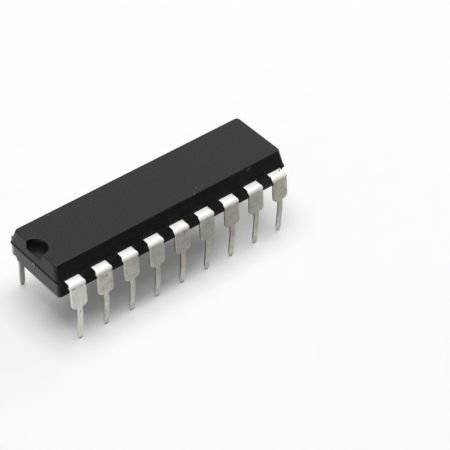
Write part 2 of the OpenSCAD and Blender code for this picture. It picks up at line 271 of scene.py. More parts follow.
class Walls:
    """Walls of the body. At height z the outline is a rectangle with rounded corners, whose half
    sizes shrink with the draft away from the parting line."""

    def __init__(self, s):
        self.s = s
        self.mark_x = s.half_length - s.mark_inset
        self.top_half = self.half_length(s.top)
        self.floor_z = s.top - s.notch_depth

    def half_width(self, z):
        """Half width at a height, with one draft above the parting line and another below the step."""
        s = self.s
        up, down = z - s.parting, s.parting - z
        return np.where(up >= 0, s.half_width - up * math.tan(s.upper_draft),
                        s.half_width - s.step - down * math.tan(s.lower_draft))

    def half_length(self, z):
        """Half length at a height, with the same draft above and below."""
        s = self.s
        away = np.abs(z - s.parting) * math.tan(s.end_draft)
        return s.half_length - away - np.where(z < s.parting, s.step, 0)

    def notch_r(self, z):
        """Radius of the notch: a cone with a rounded rim."""
        s = self.s
        cone = s.notch_floor + (s.notch_radius - s.notch_floor) * (z - self.floor_z) / s.notch_depth
        rim = 0.02 * MM
        t = np.clip((z - s.top + rim) / rim, 0, 1)
        return cone + rim * (1 - np.sqrt(1 - t * t))

    def long_side(self, half):
        """Points along a long side, in line with the ejector marks."""
        a, b = self.mark_x - MARGIN, self.mark_x + MARGIN
        return stops((-half, 4), (-b, BLOCK_STEPS), (-a, 12), (a, BLOCK_STEPS), (b, 4), (half, 0))

    def ring(self, half_l, half_w, notch_half):
        """One outline, counter-clockwise from the plain end, as its runs from corner to corner."""
        r = self.s.corner
        x, y = half_l - r, half_w - r
        end = stops((-y, END_STEPS), (-notch_half, NOTCH_STEPS), (notch_half, END_STEPS), (y, 0))
        turn = np.linspace(0, np.pi / 2, CORNER_STEPS + 1)
        arc = np.stack([np.cos(turn), np.sin(turn)], axis=-1) * r
        across = np.array([[0, -1], [1, 0]])
        long_x = self.long_side(x)
        return [
            np.stack([np.full_like(end, half_l), end], axis=-1),
            arc + [x, y],
            np.stack([long_x[::-1], np.full_like(long_x, half_w)], axis=-1),
            arc @ across.T + [-x, y],
            np.stack([np.full_like(end, -half_l), -end], axis=-1),
            [-x, -y] - arc,
            np.stack([long_x, np.full_like(long_x, -half_w)], axis=-1),
            arc @ across + [x, -y],
        ]


def at_height(xy, z):
    """Plan points with a height added to each."""
    return np.concatenate([xy, np.broadcast_to(z, xy.shape[:-1])[..., None]], axis=-1)


def wall_rows(w):
    """Heights and insets of the rows: rolled lower edge, wall, step and ridge at the parting line, wall,
    rolled upper edge."""
    s = w.s
    a = np.linspace(np.pi / 2, 0, ROLL_STEPS + 1)
    roll_z, roll_in = s.edge * (1 - np.sin(a)), s.edge * (1 - np.cos(a))
    lower = np.linspace(s.belly + s.edge, s.parting, 6)[1:-1]
    under = s.parting - 1e-9
    ridge = s.parting + s.ridge_height * np.array([0, 0.15, 0.85, 1])
    ridge_in = -s.ridge_reach * np.array([0, 1, 1, 0])
    upper = np.concatenate([np.linspace(ridge[-1], w.floor_z, 4)[1:-1],
                            np.linspace(w.floor_z, s.top - s.edge, 6)[:-1]])
    z = np.concatenate([s.belly + roll_z, lower, [under], ridge, upper, (s.top - roll_z)[::-1]])
    inset = np.concatenate([roll_in, np.zeros(len(lower) + 1), ridge_in, np.zeros(len(upper)), roll_in[::-1]])
    return z, inset


def body_patches(s):
    """Patches of the body: the side band is outline times height, the top face is straight lines
    from end to end, the notch is an arc times height, and each ejector mark is a profile of radius
    and depth carried round, joined to the underside by straight lines from circle to rectangle."""
    w = Walls(s)
    z, inset = wall_rows(w)
    half_l, half_w = w.half_length(z) - inset, w.half_width(z) - inset
    radius = w.notch_r(np.maximum(z, w.floor_z))
    beyond = np.where(z < w.floor_z, w.half_length(w.floor_z), half_l) - w.top_half
    notch_half = np.sqrt(radius ** 2 - beyond ** 2)
    rings = [w.ring(l, h, n) for l, h, n in zip(half_l, half_w, notch_half)]
    band = np.stack([at_height(np.concatenate([run[:-1] for run in ring]), zj) for ring, zj in zip(rings, z)])
    faces = quads(*band.shape[:2], closed=True)
    floor_row = int(np.searchsorted(z, w.floor_z - 1e-9))
    first = sum(len(run) - 1 for run in rings[0][:4]) + END_STEPS
    open_faces = np.zeros(faces.shape[:2], bool)
    open_faces[floor_row:, first:first + NOTCH_STEPS] = True
    patches = [(band, faces[~open_faces])]

    # Notch
    limit = np.arccos(-beyond / radius)[floor_row:, None] * np.linspace(1, -1, NOTCH_STEPS + 1)
    arc = radius[floor_row:, None, None] * np.stack([np.cos(limit), np.sin(limit)], axis=-1)
    arc = at_height(arc - [w.top_half, 0], z[floor_row:, None])
    patches.append((arc, quads(*arc.shape[:2])))
    chord = at_height(rings[floor_row][4][END_STEPS:END_STEPS + NOTCH_STEPS + 1], z[floor_row])
    floor = blend(arc[0], chord, np.linspace(0, 1, 9))
    patches.append((floor, quads(*floor.shape[:2])))

    # Top face
    ends = rings[-1]
    left = np.concatenate([ends[3][:-1], ends[4][:END_STEPS], arc[-1][:, :2],
                           ends[4][END_STEPS + NOTCH_STEPS + 1:-1], ends[5]])
    right = np.concatenate([ends[1][::-1][:-1], ends[0][::-1], ends[7][::-1][1:]])
    along = w.long_side(half_l[-1] - s.corner)
    share = (along - along[0]) / (along[-1] - along[0])
    top = at_height(blend(left, right, share), z[-1])
    patches.append((top, quads(*top.shape[:2])))

    # Underside with its two ejector marks
    ends = rings[0]
    left = np.concatenate([ends[3][:-1], ends[4], ends[5][1:]])
    right = np.concatenate([ends[1][::-1][:-1], ends[0][::-1], ends[7][::-1][1:]])
    y = left[:, 1]

    def line(x):
        return np.stack([np.full_like(y, x), y], axis=-1)

    a, b = w.mark_x - MARGIN, w.mark_x + MARGIN
    for one, two, steps in ((left, line(-b), 4), (line(-a), line(a), 12), (line(b), right, 4)):
        flat = at_height(blend(one, two, np.linspace(0, 1, steps + 1)), z[0])
        patches.append((flat, quads(*flat.shape[:2])))
    e, f = 0.03 * MM, 0.06 * MM
    t = np.linspace(0, np.pi / 2, 5)
    profile = np.concatenate([
        np.stack([s.mark_radius + e * (1 - np.sin(t)), e * (1 - np.cos(t))], axis=-1),
        np.stack([s.mark_radius - f * (1 - np.cos(t)), s.mark_depth - f * (1 - np.sin(t))], axis=-1),
        [[s.mark_radius * 0.5, s.mark_depth], [0, s.mark_depth]],
    ])
    for side in (-1, 1):
        centre = side * w.mark_x
        across = np.linspace(MARGIN, -MARGIN, BLOCK_STEPS + 1) + centre
        rim = np.concatenate([
            line(centre + MARGIN)[::-1][:-1],
            np.stack([across, np.full_like(across, y[0])], axis=-1)[:-1],
            line(centre - MARGIN)[:-1],
            np.stack([across[::-1], np.full_like(across, y[-1])], axis=-1)[:-1],
        ])
        turn = np.arctan2(rim[:, 1], rim[:, 0] - centre)
        spoke = np.stack([np.cos(turn), np.sin(turn)], axis=-1)
        circle = spoke * profile[0, 0] + [centre, 0]
        sheet = at_height(blend(rim, circle, np.linspace(0, 1, 7)), z[0])
        patches.append((sheet, quads(*sheet.shape[:2], closed=True)))
        bowl = profile[:, 0, None, None] * spoke[None] + [centre, 0]
        bowl = at_height(bowl, z[0] + profile[:, 1, None])
        patches.append((bowl, quads(*bowl.shape[:2], closed=True)))
    return patches


# Leads

def mitres(line, first, last):
    """Outward normals of an open outline of points (across, along), lengthened at its corners so that
    an inset by one unit moves both neighbouring edges by one unit."""
    step = np.diff(line, axis=0)
    step /= np.linalg.norm(step, axis=1)[:, None]
    normal = np.stack([step[:, 1], -step[:, 0]], axis=-1)
    before = np.concatenate([[first], normal])
    after = np.concatenate([normal, [last]])
    return (before + after) / (1 + (before * after).sum(axis=1))[:, None]


def arc_points(centre, radius, start, stop, steps):
    """Points of an arc from one angle to another, in degrees."""
    t = np.radians(np.linspace(start, stop, steps + 1))
    return np.stack([centre[0] + radius * np.cos(t), centre[1] + radius * np.sin(t)], axis=-1)


def leg_line(s, frame_z, wall, level, splay, toe_in):
    """Middle line outside the anchor, as distance from the middle of the body and height for fine
    steps of length: the direction turns evenly over the bend and softly at both ends of the knee."""
    mid = s.bend + s.thickness / 2
    run = s.anchor + level
    turn = mid * (math.pi / 2 - splay)
    bend_z = frame_z + s.thickness / 2 - mid * (1 - math.sin(splay))
    high = (bend_z - s.knee - s.knee_length / 2) / math.cos(splay)
    low = (s.knee - s.knee_length / 2) / math.cos(toe_in)
    marks = np.cumsum([run, turn, high, s.knee_length, low])
    soft = 0.2 * MM
    s_fine = np.linspace(0, marks[-1] + 0.3 * MM, 4001)
    lean = np.interp(s_fine, [marks[0], marks[1]], [math.pi / 2, splay])
    lean -= splay * np.clip((s_fine - marks[2] + soft) / (2 * soft), 0, 1)
    lean -= toe_in * np.clip((s_fine - marks[3] + soft) / (2 * soft), 0, 1)
    step = np.diff(s_fine)
    middle = (lean[1:] + lean[:-1]) / 2
    q = wall - s.anchor + np.concatenate([[0], np.cumsum(np.sin(middle) * step)])
    z = frame_z + s.thickness / 2 - np.concatenate([[0], np.cumsum(np.cos(middle) * step)])
    return s_fine, q, z, lean, marks


def finger_points(s, b, m):
    """Middle line of a finger inside the body, from its end to the anchor: across and out."""
    step = m - (s.per_row + 1) / 2
    anchor = b.half_width - s.anchor
    x, inward = step * s.pitch, -np.sign(step)
    low, high = (s.tie_width + s.finger_width) / 2 + s.finger_gap, anchor - 0.4 * MM
    ends = sum(1 for k in range(1, s.per_row + 1) if abs(k - (s.per_row + 1) / 2) > 1.5) / 2
    cut, lane_cut = 0.6 * MM, 0.25 * MM
    if abs(step) <= 1.5:
        stop = [step * s.finger_pitch, s.room_width / 2]
        if inward == 0:
            return np.array([stop, [x, anchor]])
        return np.array([stop, [stop[0], high - lane_cut], [stop[0] - inward * lane_cut, high],
                         [x + inward * lane_cut, high], [x, high + lane_cut], [x, anchor]])
    lane = low + ((s.per_row - 1) / 2 - abs(step)) * (high - low) / ends
    return np.array([[-inward * s.room_length / 2, lane], [x + inward * cut, lane], [x, lane + cut], [x, anchor]])


def leg_outline(s, fine, marks, splay):
    """Half outline of the strip outside the anchor, as half width and length along the strip. The
    dam-bar stubs stand on the bend; shoulders and roots are quarter circles, the tip a quarter ellipse."""
    s_fine, z_fine = fine
    half = {"exit": s.exit_width / 2, "stub": s.stub_width / 2, "broad": s.broad_width / 2,
            "narrow": s.narrow_width / 2, "tip": s.tip_width / 2}
    mid = s.bend + s.thickness / 2
    # The stubs take up the bend from 24 to 70 degrees, with a short nick at both ends
    stub_low, stub_high = marks[0] + mid * math.radians(24), marks[0] + mid * math.radians(70)
    nick = 0.02 * MM
    bend_z = np.interp(marks[1], s_fine, z_fine) - mid * math.sin(splay)
    shoulder = arc_points((half["broad"] - s.shoulder, s.seat + s.shoulder), s.shoulder, 0, -90, 10)
    root = arc_points((half["narrow"] + s.root, s.seat - s.root), s.root, 90, 180, 6)
    t = np.linspace(1, 0, 11)
    tip = np.stack([half["tip"] + (half["narrow"] - half["tip"]) * np.sqrt(1 - (1 - t) ** 2),
                    s.tip_height * t], axis=-1)
    upright = np.concatenate([
        [[half["exit"], bend_z], [half["broad"], bend_z - 0.1 * MM]],
        np.stack([np.full(7, half["broad"]), np.linspace(bend_z - 0.2 * MM, shoulder[0, 1] + 0.1 * MM, 7)], axis=-1),
        shoulder, root,
        np.stack([np.full(14, half["narrow"]), np.linspace(root[-1, 1] - 0.1 * MM, s.tip_height + 0.1 * MM, 14)],
                 axis=-1),
        tip,
    ])
    upright[:, 1] = np.interp(-upright[:, 1], -z_fine, s_fine)
    level = np.array([[half["exit"], v] for v in np.linspace(0, stub_low - nick, 10)]
                     + [[half["stub"], v] for v in np.linspace(stub_low + nick, stub_high - nick, 10)]
                     + [[half["exit"], v] for v in np.linspace(stub_high + nick, marks[1] - nick, 4)])
    level = level[level[:, 1] < marks[1] - nick / 2]
    return np.concatenate([level, upright, [[0, upright[-1, 1]]]])


def section(s):
    """One turn round the strip: side, inset and share of the half thickness for each point, with one
    number that is 1 on the stamped edge and another that is 1 on the face towards the body."""
    a = np.linspace(0, np.pi / 2, 4)
    inset = s.rounding * (1 - np.sin(a))
    height = 1 - s.rounding * (1 - np.cos(a)) / (s.thickness / 2)
    side = np.concatenate([np.full(8, 1.0), np.full(3, 0.0), np.full(8, -1.0), np.full(3, 0.0)])
    band_in = np.concatenate([inset, inset[::-1]])
    band_h = np.concatenate([height, -height[::-1]])
    spread = np.concatenate([np.ones(8), [0.5, 0.0, -0.5], -np.ones(8), [-0.5, 0.0, 0.5]])
    insets = np.concatenate([band_in, np.full(3, s.rounding), band_in, np.full(3, s.rounding)])
    heights = np.concatenate([band_h, np.full(3, -1.0), band_h[::-1], np.full(3, 1.0)])
    edge = (insets < s.rounding * 0.2).astype(float)
    return side, spread, insets, heights, edge, (heights < -0.9).astype(float)


def lead_patch(s, b, number):
    """A lead as its cross-section carried along its middle line: each station has a place, a
    direction across, along and through the strip, a half width and an outline normal."""
    m = number if number <= s.per_row else number - s.per_row
    frame_z = b.parting - s.thickness / 2
    bends = (s.exit_run, s.splay, s.toe_in)
    if number == s.pressed:
        bends = (s.pressed_run, s.pressed_lean, -s.pressed_lean)
    s_fine, q, z, lean, marks = leg_line(s, frame_z, b.half_width, *bends)
    outside = leg_outline(s, (s_fine, z), marks, bends[1])
    plan = finger_points(s, b, m)
    finger_s = np.concatenate([[0], np.cumsum(np.linalg.norm(np.diff(plan, axis=0), axis=1))])
    finger_s -= finger_s[-1]
    half = s.finger_width / 2
    inner = np.concatenate([[[0, finger_s[0]]], np.stack([np.full(len(plan), half), finger_s], axis=-1)])
    outline = np.concatenate([inner, outside])
    normals = mitres(outline, (0, -1), (0, 1))
    count = len(inner)

    # Inside: directions come from the plan, mitred at its turns
    ahead = np.diff(plan, axis=0)
    ahead /= np.linalg.norm(ahead, axis=1)[:, None]
    before, after = np.concatenate([ahead[:1], ahead]), np.concatenate([ahead, ahead[-1:]])
    right = np.stack([before[:, 1] + after[:, 1], -before[:, 0] - after[:, 0]], axis=-1)
    right /= (1 + (before * after).sum(axis=1))[:, None]
    pick = np.concatenate([[0], np.arange(len(plan))])
    place = np.zeros((len(outline), 3))
    across, along, through = (np.zeros_like(place) for _ in range(3))
    place[:count] = at_height(plan[pick], frame_z + s.thickness / 2)
    across[:count, :2] = right[pick]
    along[:count, :2] = after[pick]
    through[:count, 2] = 1

    # Outside: directions come from the lean of the middle line
    v = outside[:, 1]
    tilt = np.interp(v, s_fine, lean)
    x = (m - (s.per_row + 1) / 2) * s.pitch
    place[count:] = np.stack([np.full_like(v, x), np.interp(v, s_fine, q), np.interp(v, s_fine, z)], axis=-1)
    across[count:, 0] = 1
    along[count:, 1], along[count:, 2] = np.sin(tilt), -np.cos(tilt)
    through[count:, 1], through[count:, 2] = np.cos(tilt), np.sin(tilt)

    side, spread, inset, height, edge, back = section(s)
    z_here = place[:, 2]
    thick = s.thickness / 2 * np.interp(z_here, [0, 0.35 * MM, 1], [0.62, 1, 1])
    width = np.maximum(outline[:, :1] - normals[:, :1] * s.rounding, 0)
    inset = np.where(outline[:, :1] > 0, inset[None], 0)
    shift = outline[:, :1] * side - side * inset * normals[:, :1]
    shift = np.where(side == 0, width * spread, shift)
    slide = -np.broadcast_to(inset, shift.shape) * normals[:, 1:]
    points = (place[:, None] + shift[..., None] * across[:, None] + slide[..., None] * along[:, None]
              + (thick[:, None] * height)[..., None] * through[:, None])
    points[..., 1] *= -1
    if number > s.per_row:
        points[..., :2] *= -1
    length_mm = np.broadcast_to((outline[:, 1:] - s.anchor) / MM, shift.shape)
    values = {"along_mm": length_mm.ravel(), "stamped_edge": np.broadcast_to(edge, shift.shape).ravel(),
              # inner_shade: the faces towards the body, and the whole pressed lead, get a grey of painted shade
              "inner_shade": np.broadcast_to(np.maximum(back, number == s.pressed), shift.shape).ravel(),
              "lead_number": np.full(shift.size, float(number))}
    return (points, quads(*points.shape[:2], closed=True)), values


# Materials

def linear(hex_value):
    """Linear colour of an sRGB hex value."""
    value = hex_value.lstrip("#")
    parts = [int(value[i:i + 2], 16) / 255 for i in (0, 2, 4)]
    return tuple(c / 12.92 if c <= 0.04045 else ((c + 0.055) / 1.055) ** 2.4 for c in parts) + (1.0,)


def add(tree, kind, sockets=None, **settings):
    """Adds a node with its settings; each socket gets a value, or a link from another socket."""
    node = tree.nodes.new(kind)
    for key, value in settings.items():
        setattr(node, key, value)
    for key, value in (sockets or {}).items():
        if isinstance(value, bpy.types.NodeSocket):
            tree.links.new(value, node.inputs[key])
        else:
            node.inputs[key].default_value = value
    return node


def material(name, **sockets):
    """A new material with its shader and Object coordinates. Named sockets hold all over the surface."""
    mat = bpy.data.materials.new(name)
    mat.use_nodes = True
    tree = mat.node_tree
    tree.nodes.clear()
    shader = add(tree, "ShaderNodeBsdfPrincipled", {k.replace("_", " "): v for k, v in sockets.items()})
    add(tree, "ShaderNodeOutputMaterial", {"Surface": shader.outputs[0]})
    place = add(tree, "ShaderNodeTexCoord").outputs["Object"]
    return mat, tree, shader, place


def mark(tree, place, centre, half, turn=(0, 0, 0)):
    """1 inside a small soft-edged egg and 0 outside: the length of the place after the egg is moved,
    turned and scaled to a unit ball. Centre and half sizes are millimetres, the turn is degrees."""
    ball = add(tree, "ShaderNodeMapping", {
        "Vector": place, "Location": [v * MM for v in centre], "Rotation": [math.radians(v) for v in turn],
        "Scale": [v * MM for v in half]}, vector_type="TEXTURE").outputs[0]
    reach = add(tree, "ShaderNodeVectorMath", {0: ball}, operation="LENGTH").outputs["Value"]
    return add(tree, "ShaderNodeMapRange", {"Value": reach, "From Min": 1.0, "From Max": 0.6}).outputs[0]


def marks(tree, place, eggs):
    """The highest of several marks."""
    masks = [mark(tree, place, *egg) for egg in eggs]
    whole = masks[0]
    for mask in masks[1:]:
        whole = add(tree, "ShaderNodeMath", {0: whole, 1: mask}, operation="MAXIMUM").outputs[0]
    return whole


def mineral_filled_epoxy(finish):
    """Epoxy with fused silica and carbon black, straight from a spark-eroded mould. It is nearly black
    in itself, and the eroded skin scatters the sky into a soft charcoal. Grains of filler show as
    faint specks, the flash along the parting line is rough and dull, and handling has left flecks.
    A smoother pin formed the notch, so its faces mirror each other and look darker."""
    mat, tree, shader, place = material("mineral_filled_epoxy", IOR=1.38)
    grain = add(tree, "ShaderNodeTexNoise", {"Vector": place, "Scale": 1 / (0.09 * MM), "Detail": 4.0,
                                             "Roughness": 0.65}).outputs["Fac"]
    speck = add(tree, "ShaderNodeTexNoise", {"Vector": place, "Scale": 1 / (0.12 * MM), "Detail": 1.0}).outputs["Fac"]
    speck = add(tree, "ShaderNodeMapRange", {"Value": speck, "From Min": 0.45, "From Max": 0.7}).outputs[0]
    base = add(tree, "ShaderNodeMix", {0: speck, 6: linear(finish.epoxy), 7: linear(finish.filler)},
               data_type="RGBA").outputs[2]
    flecks = marks(tree, place, SCUFFS)
    base = add(tree, "ShaderNodeMix", {0: flecks, 6: base, 7: linear(finish.scuff)}, data_type="RGBA").outputs[2]
    tree.links.new(base, shader.inputs["Base Color"])

    polish = add(tree, "ShaderNodeAttribute", attribute_name="polished").outputs["Fac"]
    cloud = add(tree, "ShaderNodeTexNoise", {"Vector": place, "Scale": 1 / (1.5 * MM), "Detail": 3.0}).outputs["Fac"]
    skin = add(tree, "ShaderNodeMapRange", {"Value": cloud, "From Min": 0.3, "From Max": 0.7, "To Min": 0.34,
                                            "To Max": 0.38}).outputs[0]
    skin = add(tree, "ShaderNodeMix", {0: polish, 2: skin, 3: 0.27}).outputs[0]
    height = add(tree, "ShaderNodeSeparateXYZ", {0: place}).outputs["Z"]
    sizes = settings().body
    from_flash = add(tree, "ShaderNodeMath", {0: height, 1: sizes.parting + sizes.ridge_height / 2},
                     operation="SUBTRACT").outputs[0]
    from_flash = add(tree, "ShaderNodeMath", {0: from_flash}, operation="ABSOLUTE").outputs[0]
    flash = add(tree, "ShaderNodeMapRange", {"Value": from_flash, "From Min": 0.6 * sizes.ridge_height,
                                             "From Max": 0.4 * sizes.ridge_height}).outputs[0]
    rough = add(tree, "ShaderNodeMix", {0: flash, 2: skin, 3: 0.95}).outputs[0]
    tree.links.new(rough, shader.inputs["Roughness"])
    relief = add(tree, "ShaderNodeMapRange", {"Value": flash, "To Min": 0.003 * MM, "To Max": 0.03 * MM}).outputs[0]
    relief = add(tree, "ShaderNodeMix", {0: polish, 2: relief, 3: 0.0003 * MM}).outputs[0]
    bump = add(tree, "ShaderNodeBump", {"Height": grain, "Distance": relief})
    tree.links.new(bump.outputs[0], shader.inputs["Normal"])
    return mat


def matt_tin_plate(finish):
    """Stamped copper-alloy strip, tin plated by dipping: a warm matt silver with faint streaks from the
    bending tool. The level parts and the first leg are lighter, a painted highlight and reflection; the
    legs are mottled darker, partly random tone and partly painted shade, less so on the first leg; the
    faces towards the body and all of the pressed lead are a grey of painted shade. The dam bar was
    sheared off after the plating, which bared the copper on both sides of the bend: darkened there as
    painted shade, and pale as a painted highlight under the stubs of the first leads. The tips darken
    over their lowest fifth of a millimetre, and a few leads are stained."""
    mat, tree, shader, place = material("matt_tin_plate", Metallic=1.0)
    mask = {key: add(tree, "ShaderNodeAttribute", attribute_name=key).outputs["Fac"]
            for key in ("along_mm", "stamped_edge", "inner_shade", "lead_number")}
    mask["height"] = add(tree, "ShaderNodeSeparateXYZ", {0: place}).outputs["Z"]
    mask["mottle"] = add(tree, "ShaderNodeTexNoise", {"Vector": place, "Scale": 1 / (0.5 * MM), "Detail": 5.0,
                                                      "Roughness": 0.7}).outputs["Fac"]
    mask["stains"] = marks(tree, place, STAINS)

    # Each mask runs from one value of its source to another, and takes on the two values at the end
    for key, source, *limits in (
            # level: the level parts near the wall, made lighter as a painted highlight
            ("level", "along_mm", 0.55, 0.25, 0, 1), ("leg", "along_mm", 0.8, 0.88, 0.05, 1),
            ("bare", "along_mm", 0.9, 0.8, 0, 1), ("low", "along_mm", 0.6, 0.66, 0, 1),
            # first and leg_shade_share: the leg of lead 1 is lighter and less mottled, a painted reflection of the
            # bright floor
            ("first", "lead_number", 1.6, 1.4, 0, 1), ("leg_shade_share", "first", 0, 1, 1, 0.45),
            # dull: random mottle on the legs, darker partly as painted shade
            ("stub_highlight_mask", "lead_number", 5, 3, 0, 1), ("dull", "mottle", 0.35, 0.65, 0.1, 0.9),
            # tip_darkening: the lowest fifth of a millimetre of each lead darkens towards its end
            ("rough", "mottle", 0.3, 0.7, 0.6, 0.66), ("tip_darkening", "height", 0.22 * MM, 0.05 * MM, 0, 0.8)):
        mask[key] = add(tree, "ShaderNodeMapRange", {0: mask[source], **dict(enumerate(limits, 1))}).outputs[0]
    for key, other, rule in (
            ("first", "leg", "MULTIPLY"), ("level", "first", "MAXIMUM"), ("dull", "leg", "MULTIPLY"),
            # bare: the stamped edges from the wall over the bend show copper, darkened as painted shade
            ("dull", "leg_shade_share", "MULTIPLY"), ("bare", "stamped_edge", "MULTIPLY"), ("stub_highlight_mask", "low", "MULTIPLY")):
        mask[key] = add(tree, "ShaderNodeMath", {0: mask[key], 1: mask[other]}, operation=rule).outputs[0]
    # Under the stubs of the first leads the bare copper is pale: a painted highlight
    cut = add(tree, "ShaderNodeMix", {0: mask["stub_highlight_mask"], 6: linear(finish.sheared), 7: linear(finish.stub_highlight)},
              data_type="RGBA").outputs[2]
    base = linear(finish.tin)
    for key, tone in (("level", linear(finish.highlight_tin)), ("dull", linear(finish.tarnish_and_shade)),
                      ("inner_shade", linear(finish.inner)), ("tip_darkening", linear(finish.stain)),
                      ("stains", linear(finish.stain)), ("bare", cut)):
        base = add(tree, "ShaderNodeMix", {0: mask[key], 6: base, 7: tone}, data_type="RGBA").outputs[2]
    tree.links.new(base, shader.inputs["Base Color"])
    rough = add(tree, "ShaderNodeMix", {0: mask["stamped_edge"], 2: mask["rough"], 3: 0.3}).outputs[0]
    tree.links.new(rough, shader.inputs["Roughness"])
    drawn = add(tree, "ShaderNodeMapping", {"Vector": place, "Scale": (0.06, 1.0, 0.4)}).outputs[0]
    streak = add(tree, "ShaderNodeTexNoise", {"Vector": drawn, "Scale": 1 / (0.1 * MM), "Detail": 3.0}).outputs["Fac"]
    bump = add(tree, "ShaderNodeBump", {"Height": streak, "Distance": 0.006 * MM})
    tree.links.new(bump.outputs[0], shader.inputs["Normal"])
    return mat


def rolled_copper_alloy(finish):
    """Rolled copper alloy, bare inside the moulding, with fine lines along the rolling. The two ends of
    the tie bars are sheared: one part of each cut is painted near black as the shade under the flash
    ridge, and the rest is a light grey of smeared tin, partly a painted highlight."""
    mat, tree, shader, place = material("rolled_copper_alloy", Metallic=1.0)
    lines = add(tree, "ShaderNodeMapping", {"Vector": place, "Scale": (0.05, 1.0, 1.0)}).outputs[0]
    grain = add(tree, "ShaderNodeTexNoise", {"Vector": lines, "Scale": 1 / (0.05 * MM)}).outputs["Fac"]
    base = add(tree, "ShaderNodeMix", {0: grain, 6: linear(finish.copper), 7: linear(finish.rolled)},
               data_type="RGBA").outputs[2]
    part = add(tree, "ShaderNodeSeparateXYZ", {0: place})
    ahead = add(tree, "ShaderNodeMath", {0: part.outputs["X"]}, operation="ABSOLUTE").outputs[0]
    end = settings().body.half_length
    tip = add(tree, "ShaderNodeMapRange", {"Value": ahead, "From Min": end - 0.1 * MM,
                                           "From Max": end - 0.07 * MM}).outputs[0]
    # Across each cut: near black towards +Y as painted shade under the ridge, light grey towards -Y partly as a
    # painted highlight
    smear_and_highlight = add(tree, "ShaderNodeMapRange", {"Value": part.outputs["Y"], "From Min": 0.12 * MM,
                                             "From Max": 0.04 * MM}).outputs[0]
    cut = add(tree, "ShaderNodeMix", {0: smear_and_highlight, 6: linear(finish.epoxy), 7: linear(finish.smear_and_highlight)},
              data_type="RGBA").outputs[2]
    base = add(tree, "ShaderNodeMix", {0: tip, 6: base, 7: cut}, data_type="RGBA").outputs[2]
    tree.links.new(base, shader.inputs["Base Color"])
    rough = add(tree, "ShaderNodeMapRange", {"Value": grain, "From Min": 0.3, "From Max": 0.7, "To Min": 0.28,
                                             "To Max": 0.42}).outputs[0]
    tree.links.new(rough, shader.inputs["Roughness"])
    return mat


def silver_filled_adhesive():
    """Cured silver-filled epoxy: a dull grey paste with bright flakes a few hundredths of a
    millimetre wide."""
    mat, tree, shader, place = material("silver_filled_adhesive", Metallic=0.6, Roughness=0.55)
    flake = add(tree, "ShaderNodeTexVoronoi", {"Vector": place, "Scale": 1 / (0.03 * MM)}).outputs["Color"]
    base = add(tree, "ShaderNodeMix", {0: flake, 6: linear("#88888a"), 7: linear("#cfcfd2")},
               data_type="RGBA").outputs[2]
    tree.links.new(base, shader.inputs["Base Color"])
    return mat


def polished_silicon():
    """Polished silicon with its circuit: dark, glossy and slightly blue, in blocks about a third of a
    millimetre wide, with pale metal lanes between them."""
    mat, tree, shader, place = material("polished_silicon", IOR=3.4, Roughness=0.12)
    blocks = add(tree, "ShaderNodeTexBrick", {
        "Vector": place, "Scale": 1 / (1.0 * MM), "Mortar Size": 0.015, "Color1": linear("#33363f"),
        "Color2": linear("#454a5c"), "Mortar": linear("#8a8778"), "Brick Width": 0.45, "Row Height": 0.3})
    tree.links.new(blocks.outputs["Color"], shader.inputs["Base Color"])
    return mat


def drawn_gold():
    """Gold wire, drawn through a die: bright, with the faintest change of colour along it."""
    mat, tree, shader, place = material("drawn_gold", Metallic=1.0, Roughness=0.2)
    tone = add(tree, "ShaderNodeTexNoise", {"Vector": place, "Scale": 1 / (0.05 * MM)}).outputs["Fac"]
    base = add(tree, "ShaderNodeMix", {0: tone, 6: linear("#e8b85a"), 7: linear("#d9a441")},
               data_type="RGBA").outputs[2]
    tree.links.new(base, shader.inputs["Base Color"])
    return mat


def paper_floor(finish):
    """Sheet of white paper with the faintest unevenness of its fibres. A little light of its own, for
    the camera and for reflections only, lifts it to white, and less so in the shade under the chip."""
    mat, tree, shader, place = material("paper_floor", Roughness=0.9, Specular_IOR_Level=0.1)
    fibre = add(tree, "ShaderNodeTexNoise", {"Vector": place, "Scale": 1 / (2 * MM), "Detail": 3.0}).outputs["Fac"]
    base = add(tree, "ShaderNodeMix", {0: fibre, 6: linear(finish.floor), 7: linear(finish.fibre)},
               data_type="RGBA").outputs[2]
    tree.links.new(base, shader.inputs["Base Color"])
    seen = seen_rays(tree)
    under = mark(tree, place, *SHADE)
    lift = add(tree, "ShaderNodeMapRange", {"Value": under, "To Min": 0.27, "To Max": 0.085}).outputs[0]
    lift = add(tree, "ShaderNodeMath", {0: seen, 1: lift}, operation="MULTIPLY").outputs[0]
    glow = add(tree, "ShaderNodeEmission", {"Strength": lift})
    both = add(tree, "ShaderNodeAddShader", {0: shader.outputs[0], 1: glow.outputs[0]})
    out = next(node for node in tree.nodes if node.type == "OUTPUT_MATERIAL")
    tree.links.new(both.outputs[0], out.inputs["Surface"])
    return mat


def seen_rays(tree):
    """1 for rays from the camera, and for those that metal and glass send on, 0 for light."""
    ray = add(tree, "ShaderNodeLightPath")
    seen = add(tree, "ShaderNodeMath", {0: ray.outputs["Is Camera Ray"], 1: ray.outputs["Is Glossy Ray"]},
               operation="MAXIMUM").outputs[0]
    return add(tree, "ShaderNodeMath", {0: seen, 1: ray.outputs["Is Transmission Ray"]},
               operation="MAXIMUM").outputs[0]


